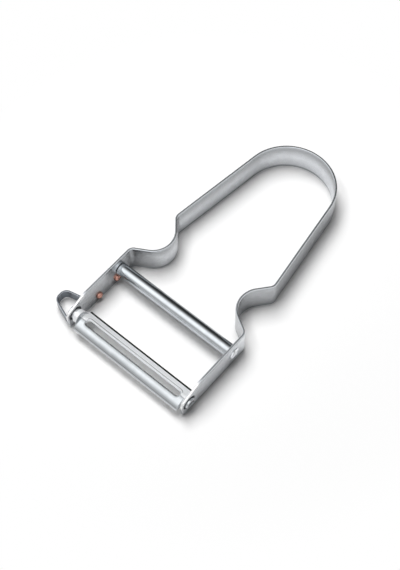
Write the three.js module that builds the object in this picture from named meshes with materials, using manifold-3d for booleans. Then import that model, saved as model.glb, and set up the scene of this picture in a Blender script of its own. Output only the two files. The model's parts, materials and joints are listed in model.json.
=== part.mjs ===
// Swivel vegetable peeler: one bent band as handle, a cross rod, a swinging double-edged blade
// and a riveted eye remover. Millimetres, +Z up, +Y from the blade to the bow of the handle.
import * as THREE from 'three';
import { mergeVertices } from 'three/addons/utils/BufferGeometryUtils.js';
import Module from 'manifold-3d';

// Handle band, seen from above
const BAND_THICKNESS = 0.9;
const BAND_HEIGHT = 12.3;
const FRAME_LENGTH = 110;
const CHEEK_SPAN = 52.3;
const SHOULDER_BEHIND_ROD = 6.3;
const SHOULDER_RADIUS = 2.5;
const NOTCH_DEPTH = 14.3;
const NOTCH_SETBACK = 8.3;
const NOTCH_RADIUS = 8.35;
const HIP_SETBACK = 12.55;
const HIP_RADIUS = 3;
const LEG_TAPER = 7.57;
const BOW_RADIUS = 17.85;

// Nose of each cheek, seen from the side
const SLOPE_LENGTH = 9.8;
const SLOPE_DROP = 3.8;
const NOSE_RADIUS = 2.5;
const NOSE_LEAN = 0.6;
const HEEL_RADIUS = 1.4;

// Swivel bearing: a C-shaped journal in a round hole, with a tooth that stops the swing
const PIVOT_INSET = 3.95;
const PIVOT_HEIGHT = 6.1;
const JOURNAL_RADIUS = 2.2;
const JOURNAL_WALL = 0.8;
const JOURNAL_GAP_ANGLE = 120;
const JOURNAL_PROUD = 0.9;
const RUNNING_GAP = 0.3;
const TOOTH_ANGLE = 64;
const TOOTH_REACH = 1.5;

// Blade
const BLADE_WIDTH = 9.7;
const BLADE_ARCH_RADIUS = 5.9;
const BLADE_THICKNESS = 0.8;
const CROWN_RISE = 0.6;
const BLADE_CORNER = 1.2;
const SLOT_WIDTH = 2.2;
const SLOT_END_WEB = 2.6;
const GRIND_WIDTH = 0.6;
const COLLAR_LENGTH = 1.75;
const COLLAR_RADIUS = 2.7;
const COLLAR_GAP_ANGLE = 140;

// Cross rod, with flattened tenons peened over outside the cheeks
const ROD_DIAMETER = 5;
const ROD_BEHIND_RIVET = 2.35;
const ROD_HEIGHT = 6.3;
const TENON_WIDTH = 3.9;
const TENON_THICKNESS = 1.4;
const PEEN_LAP = 0.3;
const PEEN_THICKNESS = 0.45;

// Eye remover: a strip riveted to the outside of one cheek and bent into a loop at the nose
const STRIP_THICKNESS = 0.6;
const STRIP_LIFT = 0.7;
const STRIP_BELOW_PEEN = 0.15;
const LOOP_REACH = 9.5;
const LOOP_BACK_ROOT = 11;
const LOOP_BACK_TAPER = 2.1;
const LOOP_FRONT_TAPER = 3.1;
const LOOP_END_RADIUS = 2.7;
const LOOP_ROOT_RADIUS = 1.2;
const LOOP_CLEAR_OF_JOURNAL = 0.5;
const PLATE_MARGIN = 2.4;

// Rivets
const RIVET_BEHIND_LOOP = 4.9;
const RIVET_PITCH = 9.6;
const RIVET_SHANK_RADIUS = 0.7;
const RIVET_HEAD_RADIUS = 1.15;
const RIVET_DOME = 0.8;
const RIVET_TAIL = 0.5;

// Seated pieces keep this clearance; curves stay this close to the true arc; cutters run this far past
const FIT_GAP = 0.05;
const ARC_TOLERANCE = 0.02;
const OVERCUT = 1;

const wasm = await Module();
wasm.setup();

const degrees = THREE.MathUtils.degToRad;
const innerFace = CHEEK_SPAN / 2;
const outerFace = innerFace + BAND_THICKNESS;
const cheekCentre = innerFace + BAND_THICKNESS / 2;
const cutterReach = outerFace + JOURNAL_PROUD + OVERCUT;

// Places along the cheek, from the nose to the shoulder
const frontRivet = LOOP_BACK_ROOT + RIVET_BEHIND_LOOP;
const rearRivet = frontRivet + RIVET_PITCH;
const rodInset = rearRivet + ROD_BEHIND_RIVET;
const shoulder = rodInset + SHOULDER_BEHIND_ROD;

// The strip lies low on the cheek, under the rod's peened tenon, with the rivets on its middle
const stripTop = ROD_HEIGHT - TENON_THICKNESS / 2 - PEEN_LAP - STRIP_BELOW_PEEN;
const rivetHeight = (STRIP_LIFT + stripTop) / 2;

// Solids

function solid(geometry) {
  const bare = geometry.clone();
  bare.deleteAttribute('normal');
  bare.deleteAttribute('uv');
  const merged = mergeVertices(bare);
  return new wasm.Manifold(new wasm.Mesh({
    numProp: 3,
    vertProperties: Float32Array.from(merged.attributes.position.array),
    triVerts: Uint32Array.from(merged.index.array),
  }));
}

function mesh(name, body, color, roughness, metalness) {
  const made = body.getMesh();
  const geometry = new THREE.BufferGeometry();
  geometry.setAttribute('position', new THREE.BufferAttribute(Float32Array.from(made.vertProperties), 3));
  geometry.setIndex(new THREE.BufferAttribute(Uint32Array.from(made.triVerts), 1));
  geometry.computeVertexNormals();
  const piece = new THREE.Mesh(geometry, new THREE.MeshStandardMaterial({ color, roughness, metalness }));
  piece.name = name;
  return piece;
}

// Outlines

// Straight runs with rounded corners. Each point also holds the direction to the right of the path.
function roundedPath(corners) {
  const path = [];
  corners.forEach((corner, i) => {
    const before = corners[i - 1];
    const after = corners[i + 1];
    if (!before || !after) {
      const run = after ? { x: after.x - corner.x, y: after.y - corner.y }
        : { x: corner.x - before.x, y: corner.y - before.y };
      const length = Math.hypot(run.x, run.y);
      path.push({ x: corner.x, y: corner.y, nx: run.y / length, ny: -run.x / length });
      return;
    }
    const back = new THREE.Vector2(before.x - corner.x, before.y - corner.y).normalize();
    const ahead = new THREE.Vector2(after.x - corner.x, after.y - corner.y).normalize();
    const half = Math.acos(back.dot(ahead)) / 2;
    const turn = Math.sign(ahead.cross(back));
    const toCentre = back.clone().add(ahead).setLength(corner.r / Math.sin(half));
    const start = back.clone().multiplyScalar(corner.r / Math.tan(half)).sub(toCentre);
    const sweep = Math.PI - 2 * half;
    const count = arcSteps(corner.r, sweep);
    for (let k = 0; k <= count; k += 1) {
      const radius = start.clone().rotateAround(new THREE.Vector2(), turn * sweep * k / count);
      path.push({
        x: corner.x + toCentre.x + radius.x,
        y: corner.y + toCentre.y + radius.y,
        nx: turn * radius.x / corner.r,
        ny: turn * radius.y / corner.r,
      });
    }
  });
  return path;
}

function arcSteps(radius, sweep) {
  const step = 2 * Math.acos(1 - Math.min(ARC_TOLERANCE / radius, 1));
  return Math.max(3, Math.ceil(sweep / step));
}

// An arc in a shape is drawn with twice this many chords.
function curveDivisions(radius) {
  return Math.ceil(arcSteps(radius, Math.PI) / 2);
}

// A strip of even thickness along a path.
function stripShape(path, thickness) {
  const side = (point, way) => new THREE.Vector2(
    point.x + way * point.nx * thickness / 2,
    point.y + way * point.ny * thickness / 2,
  );
  const right = path.map((point) => side(point, 1));
  const left = path.map((point) => side(point, -1)).reverse();
  return new THREE.Shape([...right, ...left]);
}

// A slot outline with round ends, long in the first direction.
function slotShape(length, width) {
  const straight = (length - width) / 2;
  const shape = new THREE.Shape();
  shape.absarc(straight, 0, width / 2, -Math.PI / 2, Math.PI / 2, false);
  shape.absarc(-straight, 0, width / 2, Math.PI / 2, 1.5 * Math.PI, false);
  shape.closePath();
  return shape;
}

// A ring sector, open below over the given angle.
function openRing(outer, wall, gapAngle) {
  const from = -Math.PI / 2 + degrees(gapAngle) / 2;
  const to = 1.5 * Math.PI - degrees(gapAngle) / 2;
  return ringSector(outer, outer - wall, from, to);
}

function ringSector(outer, inner, from, to) {
  const shape = new THREE.Shape();
  shape.absarc(0, 0, outer, from, to, false);
  shape.absarc(0, 0, inner, to, from, true);
  shape.closePath();
  return shape;
}

// Extrusions

function extrudeUp(shape, low, high, radius = NOTCH_RADIUS) {
  const curveSegments = curveDivisions(radius);
  const geometry = new THREE.ExtrudeGeometry(shape, { depth: high - low, bevelEnabled: false, curveSegments });
  return geometry.translate(0, 0, low);
}

// The shape's first direction becomes +Y and its second +Z; the extrusion runs along +X.
const SIDEWAYS = new THREE.Matrix4().makeBasis(
  new THREE.Vector3(0, 1, 0),
  new THREE.Vector3(0, 0, 1),
  new THREE.Vector3(1, 0, 0),
);

function extrudeAcross(shape, from, to, radius) {
  return extrudeUp(shape, from, to, radius).applyMatrix4(SIDEWAYS);
}

function rodAcross(radius, from, to) {
  const sides = 2 * arcSteps(radius, Math.PI);
  const geometry = new THREE.CylinderGeometry(radius, radius, to - from, sides);
  return geometry.rotateZ(-Math.PI / 2).translate((from + to) / 2, 0, 0);
}

// Handle

function bandPath() {
  const taper = degrees(LEG_TAPER);
  const bowCentre = FRAME_LENGTH - BAND_THICKNESS / 2 - BOW_RADIUS;
  const apex = bowCentre + BOW_RADIUS / Math.sin(taper);
  const notch = shoulder + NOTCH_SETBACK;
  const hip = notch + HIP_SETBACK;
  const half = [
    { x: cheekCentre, y: -OVERCUT },
    { x: cheekCentre, y: shoulder, r: SHOULDER_RADIUS },
    { x: cheekCentre - NOTCH_DEPTH, y: notch, r: NOTCH_RADIUS },
    { x: (apex - hip) * Math.tan(taper), y: hip, r: HIP_RADIUS },
  ];
  const mirrored = half.map((corner) => ({ ...corner, x: -corner.x })).reverse();
  return roundedPath([...half, { x: 0, y: apex, r: BOW_RADIUS }, ...mirrored]);
}

// The band's side view: the sloped top edge, the round nose and the lower edge.
function noseProfile() {
  const far = FRAME_LENGTH + OVERCUT;
  const top = BAND_HEIGHT + OVERCUT;
  const path = roundedPath([
    { x: SLOPE_LENGTH, y: BAND_HEIGHT },
    { x: 0, y: BAND_HEIGHT - SLOPE_DROP, r: NOSE_RADIUS },
    { x: NOSE_LEAN, y: 0, r: HEEL_RADIUS },
    { x: far, y: 0 },
  ]);
  const edge = path.map((point) => new THREE.Vector2(point.x, point.y));
  return new THREE.Shape([...edge, new THREE.Vector2(far, top), new THREE.Vector2(SLOPE_LENGTH, top)]);
}

// The bearing hole: round, with the stop tooth standing up from below.
function bearingHole() {
  const radius = JOURNAL_RADIUS + RUNNING_GAP;
  const right = -Math.PI / 2 + degrees(TOOTH_ANGLE) / 2;
  const left = 1.5 * Math.PI - degrees(TOOTH_ANGLE) / 2;
  const shape = new THREE.Shape();
  shape.absarc(0, 0, radius, right, left, false);
  shape.absarc(0, 0, radius - TOOTH_REACH, left, right + 2 * Math.PI, false);
  shape.closePath();
  return extrudeAcross(shape, -cutterReach, cutterReach, radius).translate(0, PIVOT_INSET, PIVOT_HEIGHT);
}

function handleFrame() {
  const band = solid(extrudeUp(stripShape(bandPath(), BAND_THICKNESS), 0, BAND_HEIGHT));
  const profile = solid(extrudeAcross(noseProfile(), -cutterReach, cutterReach));
  const tenonSlot = extrudeAcross(
    slotShape(TENON_WIDTH + 2 * FIT_GAP, TENON_THICKNESS + 2 * FIT_GAP),
    -cutterReach,
    cutterReach,
    TENON_THICKNESS,
  ).translate(0, rodInset, ROD_HEIGHT);
  let frame = band.intersect(profile).subtract(solid(bearingHole())).subtract(solid(tenonSlot));
  for (const hole of rivetHoles()) {
    frame = frame.subtract(hole);
  }
  return mesh('handle_frame', frame, 0x9da0a2, 0.45, 0.9);
}

// Rivet holes run through the left cheek and the plate outside it.
function rivetHoles() {
  return [frontRivet, rearRivet].map((inset) => {
    const hole = rodAcross(RIVET_SHANK_RADIUS + FIT_GAP, -cutterReach, -innerFace + OVERCUT);
    return solid(hole.translate(0, inset, rivetHeight));
  });
}

// Cross rod

function crossRod() {
  const seat = innerFace - FIT_GAP;
  const peenFace = outerFace + FIT_GAP;
  const end = peenFace + PEEN_THICKNESS;
  const tenon = slotShape(TENON_WIDTH, TENON_THICKNESS);
  const peen = slotShape(TENON_WIDTH + 2 * PEEN_LAP, TENON_THICKNESS + 2 * PEEN_LAP);
  const body = solid(rodAcross(ROD_DIAMETER / 2, -seat, seat))
    .add(solid(extrudeAcross(tenon, -end, end, TENON_THICKNESS)))
    .add(solid(extrudeAcross(peen, peenFace, end, TENON_THICKNESS)))
    .add(solid(extrudeAcross(peen, -end, -peenFace, TENON_THICKNESS)));
  const rod = mesh('cross_rod', body, 0xd4d7da, 0.12, 1);
  rod.position.set(0, rodInset, ROD_HEIGHT);
  return rod;
}

// Blade, made about the swivel axis

function bladeSheet(halfLength) {
  const halfAngle = Math.asin(BLADE_WIDTH / 2 / BLADE_ARCH_RADIUS);
  const arch = ringSector(
    BLADE_ARCH_RADIUS,
    BLADE_ARCH_RADIUS - BLADE_THICKNESS,
    Math.PI / 2 - halfAngle,
    Math.PI / 2 + halfAngle,
  );
  const sheet = extrudeAcross(arch, -halfLength, halfLength, BLADE_ARCH_RADIUS);
  sheet.translate(0, 0, CROWN_RISE - BLADE_ARCH_RADIUS);
  const width = BLADE_WIDTH / 2;
  const plan = roundedPath([
    { x: halfLength, y: 0 },
    { x: halfLength, y: width, r: BLADE_CORNER },
    { x: -halfLength, y: width, r: BLADE_CORNER },
    { x: -halfLength, y: -width, r: BLADE_CORNER },
    { x: halfLength, y: -width, r: BLADE_CORNER },
    { x: halfLength, y: 0 },
  ]);
  const outline = new THREE.Shape(plan.slice(0, -1).map((point) => new THREE.Vector2(point.x, point.y)));
  return solid(sheet).intersect(solid(extrudeUp(outline, -BLADE_ARCH_RADIUS, BLADE_ARCH_RADIUS)));
}

// The slot widens upwards, so that both of its long sides are ground to an edge underneath.
function bladeSlot(halfLength) {
  const edgeAngle = Math.asin(SLOT_WIDTH / 2 / (BLADE_ARCH_RADIUS - BLADE_THICKNESS));
  const edgeHeight = (BLADE_ARCH_RADIUS - BLADE_THICKNESS) * Math.cos(edgeAngle) + CROWN_RISE - BLADE_ARCH_RADIUS;
  const shape = slotShape(2 * (halfLength - SLOT_END_WEB), SLOT_WIDTH);
  const cutter = new THREE.ExtrudeGeometry(shape, {
    depth: COLLAR_RADIUS,
    bevelEnabled: true,
    bevelSegments: 1,
    bevelSize: GRIND_WIDTH,
    bevelThickness: BLADE_THICKNESS,
    curveSegments: curveDivisions(SLOT_WIDTH),
  });
  return solid(cutter.translate(0, 0, edgeHeight + BLADE_THICKNESS - FIT_GAP));
}

function blade() {
  const collarEnd = innerFace - RUNNING_GAP;
  const halfLength = collarEnd - COLLAR_LENGTH;
  const collarRoot = halfLength - COLLAR_LENGTH / 2;
  const journalRoot = collarEnd - COLLAR_LENGTH / 2;
  const collar = openRing(COLLAR_RADIUS, JOURNAL_WALL, COLLAR_GAP_ANGLE);
  const journal = openRing(JOURNAL_RADIUS, JOURNAL_WALL, JOURNAL_GAP_ANGLE);
  let body = bladeSheet(halfLength).subtract(bladeSlot(halfLength));
  for (const turn of [0, Math.PI]) {
    const neck = solid(extrudeAcross(collar, collarRoot, collarEnd, COLLAR_RADIUS).rotateZ(turn));
    const end = solid(extrudeAcross(journal, journalRoot, outerFace + JOURNAL_PROUD, JOURNAL_RADIUS).rotateZ(turn));
    body = body.add(neck).add(end);
  }
  return mesh('blade', body, 0xd8dbde, 0.14, 1);
}

// Eye remover

function eyeRemover() {
  const plate = -(outerFace + FIT_GAP + STRIP_THICKNESS / 2);
  const loopEnd = -(outerFace + LOOP_REACH - STRIP_THICKNESS / 2);
  const frontRoot = PIVOT_INSET - JOURNAL_RADIUS - LOOP_CLEAR_OF_JOURNAL - STRIP_THICKNESS / 2;
  const path = roundedPath([
    { x: plate, y: rearRivet + PLATE_MARGIN },
    { x: plate, y: LOOP_BACK_ROOT, r: LOOP_ROOT_RADIUS },
    { x: loopEnd, y: LOOP_BACK_ROOT - LOOP_BACK_TAPER, r: LOOP_END_RADIUS },
    { x: loopEnd, y: frontRoot + LOOP_FRONT_TAPER, r: LOOP_END_RADIUS },
    { x: -(outerFace + RUNNING_GAP), y: frontRoot },
  ]);
  let strip = solid(extrudeUp(stripShape(path, STRIP_THICKNESS), STRIP_LIFT, stripTop));
  for (const hole of rivetHoles()) {
    strip = strip.subtract(hole);
  }
  return mesh('eye_remover', strip, 0x777c81, 0.3, 1);
}

// Rivets: a domed head inside the cheek and a flatter tail outside the plate

function rivet(name, inset) {
  const headFace = -innerFace + FIT_GAP;
  const tailFace = -(outerFace + STRIP_THICKNESS + 2 * FIT_GAP);
  const dome = (base, rise) => {
    const count = arcSteps(RIVET_HEAD_RADIUS, Math.PI / 2);
    return Array.from({ length: count + 1 }, (_, k) => {
      const angle = Math.PI / 2 * k / count;
      const radius = k === count ? 0 : RIVET_HEAD_RADIUS * Math.cos(angle);
      return new THREE.Vector2(radius, base + rise * Math.sin(angle));
    });
  };
  const profile = [
    ...dome(tailFace, -RIVET_TAIL).reverse(),
    new THREE.Vector2(RIVET_SHANK_RADIUS, tailFace),
    new THREE.Vector2(RIVET_SHANK_RADIUS, headFace),
    ...dome(headFace, RIVET_DOME),
  ];
  const lathe = new THREE.LatheGeometry(profile, 2 * arcSteps(RIVET_HEAD_RADIUS, Math.PI));
  const piece = mesh(name, solid(lathe.rotateZ(-Math.PI / 2)), 0xb4745a, 0.25, 1);
  piece.position.set(0, inset, rivetHeight);
  return piece;
}

// The whole peeler, standing on the floor with its box centred on the origin

function peeler() {
  const assembly = new THREE.Group();
  const swivel = new THREE.Group();
  swivel.position.set(0, PIVOT_INSET, PIVOT_HEIGHT);
  swivel.add(blade());
  assembly.add(handleFrame(), crossRod(), swivel, eyeRemover());
  assembly.add(rivet('rivet_front', frontRivet), rivet('rivet_rear', rearRivet));
  assembly.updateMatrixWorld(true);
  const box = new THREE.Box3().setFromObject(assembly);
  const centre = box.getCenter(new THREE.Vector3());
  assembly.position.set(-centre.x, -centre.y, -box.min.z);
  const part = new THREE.Group();
  part.add(assembly);
  return part;
}

export default peeler();
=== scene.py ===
import json
import math

import bmesh
import bpy
import numpy as np
from bpy.props import FloatProperty, FloatVectorProperty, PointerProperty
from mathutils import Matrix, Vector


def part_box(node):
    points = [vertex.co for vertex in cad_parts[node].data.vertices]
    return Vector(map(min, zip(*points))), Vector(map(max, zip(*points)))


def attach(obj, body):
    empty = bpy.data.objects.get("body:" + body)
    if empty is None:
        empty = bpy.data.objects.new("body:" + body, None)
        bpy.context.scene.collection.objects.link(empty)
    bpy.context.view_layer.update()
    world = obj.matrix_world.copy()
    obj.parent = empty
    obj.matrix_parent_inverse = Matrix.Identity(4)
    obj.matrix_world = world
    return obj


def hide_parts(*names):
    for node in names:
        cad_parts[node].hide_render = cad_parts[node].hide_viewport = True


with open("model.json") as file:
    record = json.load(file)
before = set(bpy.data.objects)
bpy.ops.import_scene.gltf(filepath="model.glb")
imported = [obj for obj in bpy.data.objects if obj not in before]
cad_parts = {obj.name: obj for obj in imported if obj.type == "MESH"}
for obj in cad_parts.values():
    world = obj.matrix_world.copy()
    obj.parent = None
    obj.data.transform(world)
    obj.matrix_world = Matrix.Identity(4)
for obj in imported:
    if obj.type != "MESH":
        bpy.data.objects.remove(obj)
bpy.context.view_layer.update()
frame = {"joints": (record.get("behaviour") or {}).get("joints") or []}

bl_info = {
    "name": "Vegetable peeler",
    "version": (1, 0, 0),
    "blender": (4, 5, 0),
    "location": "3D View > Sidebar > Peeler",
    "description": "Builds a hand peeler: band handle, cross rod, swivel blade, eye remover and rivets",
    "category": "Object",
}

MM = 0.001

# Meshes: the turn between faces that counts as an edge, the bevel of cut rims, and how near points are joined
SHARP_TURN = math.radians(32)
RIM_TURN = math.radians(60)
RIM_BEVEL = 0.08 * MM
JOIN_DISTANCE = 2e-4 * MM
SLIVER = 1e-4 * MM

# Points along the curves of each piece
HOLE_STEPS = 64
TOOTH_STEPS = 16
SLOT_STEPS = 10
CORNER_STEPS = 12
NECK_STEPS = 14
EDGE_STEPS = 6
ROD_STEPS = 12
OVAL_STEPS = 40
PEEN_STEPS = 20
RIVET_STEPS = 48
DOME_STEPS = 14
TENT_STEPS = 65

# Clearance between pieces that touch
FIT_GAP = 0.05 * MM

# Places taken from the frame: the swivel axis, and the boxes of the nodes that the pieces stand for
PIVOT = np.array(frame["joints"][0]["pos_m"])
FRAME_LOW, FRAME_HIGH = (np.array(corner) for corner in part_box("handle_frame"))
ROD_LOW, ROD_HIGH = (np.array(corner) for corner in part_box("cross_rod"))
STRIP_LOW, STRIP_HIGH = (np.array(corner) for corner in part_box("eye_remover"))
RIVET_NODES = ("rivet_front", "rivet_rear")

# The nose line of the band, where the distance along it starts
PIVOT_INSET = 3.95 * MM
NOSE_Y = PIVOT[1] - PIVOT_INSET
MIDDLE_X = PIVOT[0]

# Band seen from above
SHOULDER_INSET = 34.15 * MM
SHOULDER_RADIUS = 2.5 * MM
NOTCH_SETBACK = 8.3 * MM
NOTCH_RADIUS = 8.35 * MM
HIP_SETBACK = 12.55 * MM
HIP_RADIUS = 3 * MM
LEG_TAPER = math.radians(7.57)

# Painted shade and polish on the band: where each tone sets in and where it is full, by the distance from the
# noses or the rod's axis or by the share of the height, and how dark the painted shade is
NOSE_TONE = (3 * MM, 9 * MM)
FRONT_TONE = (22 * MM, 12 * MM)
SHOULDER_TONE = (29 * MM, 33 * MM)
NOTCH_TONE = (47 * MM, 41 * MM)
POLISH_REACH = (6.5 * MM, 3.5 * MM)
POLISH_EDGE = (-1 * MM, 1 * MM)
CUT_FADE = 1 * MM
CUT_RISE = (0.4, 0.6)
LEG_RISE = (0.45, 0.95)
LEG_OUTSIDE_PAINTED_SHADE = 0.6
CHEEK_PAINTED_SHADE = 0.95
CHEEK_FALL = (0.5, 0.28)
SHOULDER_FALL = 0.3
PAINTED_SHADE_TINT = 0.42

# Nose of each cheek seen from the side, and the share of its height where its upper and lower edge meet
SLOPE_LENGTH = 9.8 * MM
SLOPE_DROP = 3.8 * MM
NOSE_RADIUS = 2.5 * MM
NOSE_LEAN = 0.6 * MM
HEEL_RADIUS = 1.4 * MM
NOSE_SPLIT = 0.4

# Bearing holes with their stop tooth, and the painted shade round them: where it ends and where it is full
HOLE_RADIUS = 2.5 * MM
TOOTH_ANGLE = math.radians(64)
TOOTH_REACH = 1.5 * MM
HOLE_SHADE_RING = (0.55 * MM, 0.35 * MM)

# Blade, about the swivel axis
CROWN_RISE = 0.6 * MM
ARCH_RADIUS = 5.9 * MM
BODY_HALF = 24.1 * MM
CORNER_RADIUS = 0.6 * MM
SLOT_HALF = 21.5 * MM
NECK_START = 23.6 * MM
NECK_END = 24.4 * MM
COLLAR_RADIUS = 2.7 * MM
COLLAR_END = 25.85 * MM
COLLAR_EDGE = math.radians(110)
JOURNAL_RADIUS = 2.2 * MM
JOURNAL_EDGE = math.radians(120)
JOURNAL_END = 27.95 * MM
END_ROUNDING = 0.12 * MM
BLADE_SHARP_TURN = math.radians(20)

# The blade lies to the right in its play: how much further out its left and its right end are than when centred
LEFT_SLIDE = -0.85 * MM
RIGHT_SLIDE = 1.25 * MM

# Each rail of the blade: side, angle of its ground bevel, rounding of its upper edge as a share of the sheet
RAILS = ((-1, math.radians(20), 0.55), (1, math.radians(35), 0.3))
LOWER_ROUNDING = 0.25

# Rear rail: the lip at its edge, and the slopes of its hollow face at the slot and at the lip
LIP_WIDTH = 1.25 * MM
LIP_SLOPE = math.tan(math.radians(22))
REAR_SLOPES = (math.tan(math.radians(37)), math.tan(math.radians(35)))

# Lines of points along the blade: on the face, as shares of the way from the bevel to the lip, and on the lip. Places
# along the blade that are closer than the gap are one
FACE_SHARES = np.concatenate([[0, 0.004], np.linspace(0.06, 1, 16)])
LIP_LINES = 6
STATION_GAP = 0.01 * MM

# Marks on the blade: the ground line on the rear rail's face, the lines counted from the lip that take painted shade
# or a painted highlight, the painted shadow beside the slot and how far it reaches, the painted shadow at the necks,
# and how fast the collars turn matt
GROUND_LINE = 4
REAR_DARK = (0, 9)
FRONT_DARK = 1
FRONT_DARK_SHADE = 0.5
FRONT_BRIGHT = (3, 12)
SLOT_SHADE = 0.55
SLOT_SHADE_REACH = 0.29
NECK_SHADE = 1.6
COLLAR_MATT = 3

# Rod ends: the tenon through the cheek, the peened oval, the dish and groove struck into it, and the painted
# shade at the seam by the cheek and in the groove
TENON_LENGTH = 3.9 * MM
TENON_THICKNESS = 1.4 * MM
ROD_CHAMFER = 0.15 * MM
SEAM_WIDTH = 0.3 * MM
SEAM_STATIONS = np.array([1.2, 1, 0.6])
HIDDEN_PEEN = 2.0 * MM
PEEN_LIFT = 0.45 * MM
PEEN_ROUNDNESS = 0.8
DISH_MIDDLE = (0.6 * MM, -0.2 * MM)
DISH_RADIUS = 0.95 * MM
GROOVE_OFFSET = 1.75 * MM
GROOVE_SLANT = (0.77, 0.64)
GROOVE_WIDTH = 0.26 * MM
STRIKE_DEPTH = 0.5
GROOVE_SHADE = 0.8
OUTLINE_RISE = 0.06

# The rod's darker back, by the cosine of the angle from it
ROD_SHADE = (0.45, 0.70)
ROD_SHADE_TINT = 0.6

# Eye remover seen from above
LOOP_BACK_ROOT = 11 * MM
LOOP_BACK_TAPER = 2.1 * MM
LOOP_FRONT_ROOT = 0.95 * MM
LOOP_FRONT_TAPER = 3.1 * MM
LOOP_END_RADIUS = 2.7 * MM
LOOP_ROOT_RADIUS = 1.2 * MM
PLATE_END = 27.9 * MM
PLATE_CORNER = 1.3 * MM
LEG_GAP = 0.3 * MM

# Rivets: the shank's radius, and where the heads' dark rim starts as a share of their radius
RIVET_SHANK = 0.7 * MM
RIVET_RIM = 0.95

# Every metal: the depth of the drawn lines, how dark the haze is and how much finer its small clouds are than its
# large ones, and the part of each noise that is used
LINES_DEPTH = 0.02 * MM
LINES_SPAN = (0.3, 0.7)
HAZE_TINT = 0.86
HAZE_FINER = 6.0
HAZE_SPAN = (0.12, 0.42)

# Camera: the photograph's view of the object, 400 by 570 pixels
IMAGE_HEIGHT = 570
FOCAL_PIXELS = 1161.5
SENSOR = 36.0
VIEW_TURN = math.radians(-41.348)
VIEW_DOWN = math.radians(60.835)
VIEW_ROLL = math.radians(1.046)
VIEW_DISTANCE = 423.49 * MM
VIEW_AIM = Vector((2.545, -11.158, 0.780)) * MM
NEAR_CLIP = 0.01

# Floor: half its side, how far it lies below the object, its glow, and where it goes over to the background
FLOOR_HALF = 4.0
FLOOR_DROP = 0.02 * MM
FLOOR_GLOW = 0.02
FLOOR_FADE = (0.06, 0.11)

# Light: the lamp over the floor, the strip lamp in front, and the tent that the metal reflects, as levels by
# degrees from straight up, from the front horizon to the back
LAMP_PLACE = (-0.287, 0.14, 1.0)
LAMP_SIZE = (0.46, 0.73)
STRIP_PLACE = (-0.25, -0.33, 1.0)
STRIP_SIZE = (0.48, 0.14)
TENT_RADIUS = 1.2
TENT_HALF_LENGTH = 3.0
TENT_TOP = 1.9
TENT_LEVELS = (
    (-90, 0.70), (-74, 0.62), (-62, 0.78), (-50, 1.30), (-40, 1.75), (-12, 1.85), (2, 1.35), (12, 0.80),
    (21, 0.44), (34, 0.18), (44, 0.05), (90, 0.05),
)
TENT_SIDE_LEVEL = 1.0
TENT_PANEL_MIDDLE = -0.4
TENT_PANEL_HALF = (0.6, 1.1)


# Settings


def size(name, description, millimetres):
    """A size of the peeler, held in metres."""
    return FloatProperty(
        name=name, description=description, default=float(millimetres) * MM, min=0.0,
        precision=5, subtype="DISTANCE", unit="LENGTH",
    )


def colour(name, description, red_green_blue):
    """A colour of the peeler, in linear light."""
    return FloatVectorProperty(
        name=name, description=description, default=red_green_blue, size=3, min=0.0, max=1.0, subtype="COLOR",
    )


def share(name, description, value):
    """A share between none and all."""
    return FloatProperty(name=name, description=description, default=value, min=0.0, max=1.0, subtype="FACTOR")


def power(name, description, watts):
    """The power of a lamp."""
    return FloatProperty(name=name, description=description, default=watts, min=0.0, unit="POWER")


class HandleSettings(bpy.types.PropertyGroup):
    """Sizes and finish of the bent band."""

    thickness: size("Thickness", "Thickness of the band", 0.9)
    height: size("Height", "Height of the band", (FRAME_HIGH[2] - FRAME_LOW[2]) / MM)
    length: size("Length", "Length from the noses to the bow", 110)
    notch_depth: size("Notch depth", "How far the finger notches step in from the cheeks", 14.3)
    bow_radius: size("Bow radius", "Radius of the bow, at the middle of the band", 17.85)
    edge: size("Edge rounding", "Rounding of the long edges", 0.3)
    tint: colour("Colour", "Colour of the satin metal", (0.80, 0.82, 0.85))
    roughness: share("Roughness", "Roughness of the satin faces", 0.27)


class RodSettings(bpy.types.PropertyGroup):
    """Sizes and finish of the cross rod."""

    diameter: size("Diameter", "Diameter of the rod", 5)
    peen_length: size("Peened length", "Length of the peened oval", 4.6)
    peen_width: size("Peened width", "Width of the peened oval", 4.3)
    peen_rise: size("Peened rise", "How far the peened oval stands out", 0.9)
    tint: colour("Colour", "Colour of the polished metal", (0.545, 0.575, 0.60))


class BladeSettings(bpy.types.PropertyGroup):
    """Sizes and finish of the blade."""

    width: size("Width", "Width of the blade across the arch", 9.7)
    thickness: size("Thickness", "Thickness of the sheet", 0.8)
    slot_width: size("Slot width", "Width between the two cutting edges", 2.2)
    grind: size("Ground bevel", "Width of the bevel beside each cutting edge", 0.35)
    tint: colour("Colour", "Colour of the polished metal", (0.515, 0.54, 0.56))


class LoopSettings(bpy.types.PropertyGroup):
    """Sizes and finish of the eye remover."""

    thickness: size("Thickness", "Thickness of the strip", 0.6)
    edge: size("Edge rounding", "Rounding of the strip's edges", 0.12)
    tint: colour("Colour", "Colour of the rolled strip", (0.17, 0.19, 0.215))


class RivetSettings(bpy.types.PropertyGroup):
    """Sizes and finish of the rivets."""

    head: size("Head diameter", "Diameter of the rivet heads", 2.9)
    rise: size("Head rise", "How far the rounded heads stand out", 1.2)
    tint: colour("Colour", "Colour of the copper", (0.50, 0.265, 0.215))


class StageSettings(bpy.types.PropertyGroup):
    """Floor and light."""

    floor: colour("Floor colour", "Colour of the floor", (0.96, 0.96, 0.96))
    lamp: power("Lamp", "Power of the overhead lamp", 10.2)
    strip: power("Strip lamp", "Power of the strip lamp in front", 2.2)
    ambient: share("Ambient", "Light that comes from all around", 0.08)


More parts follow.
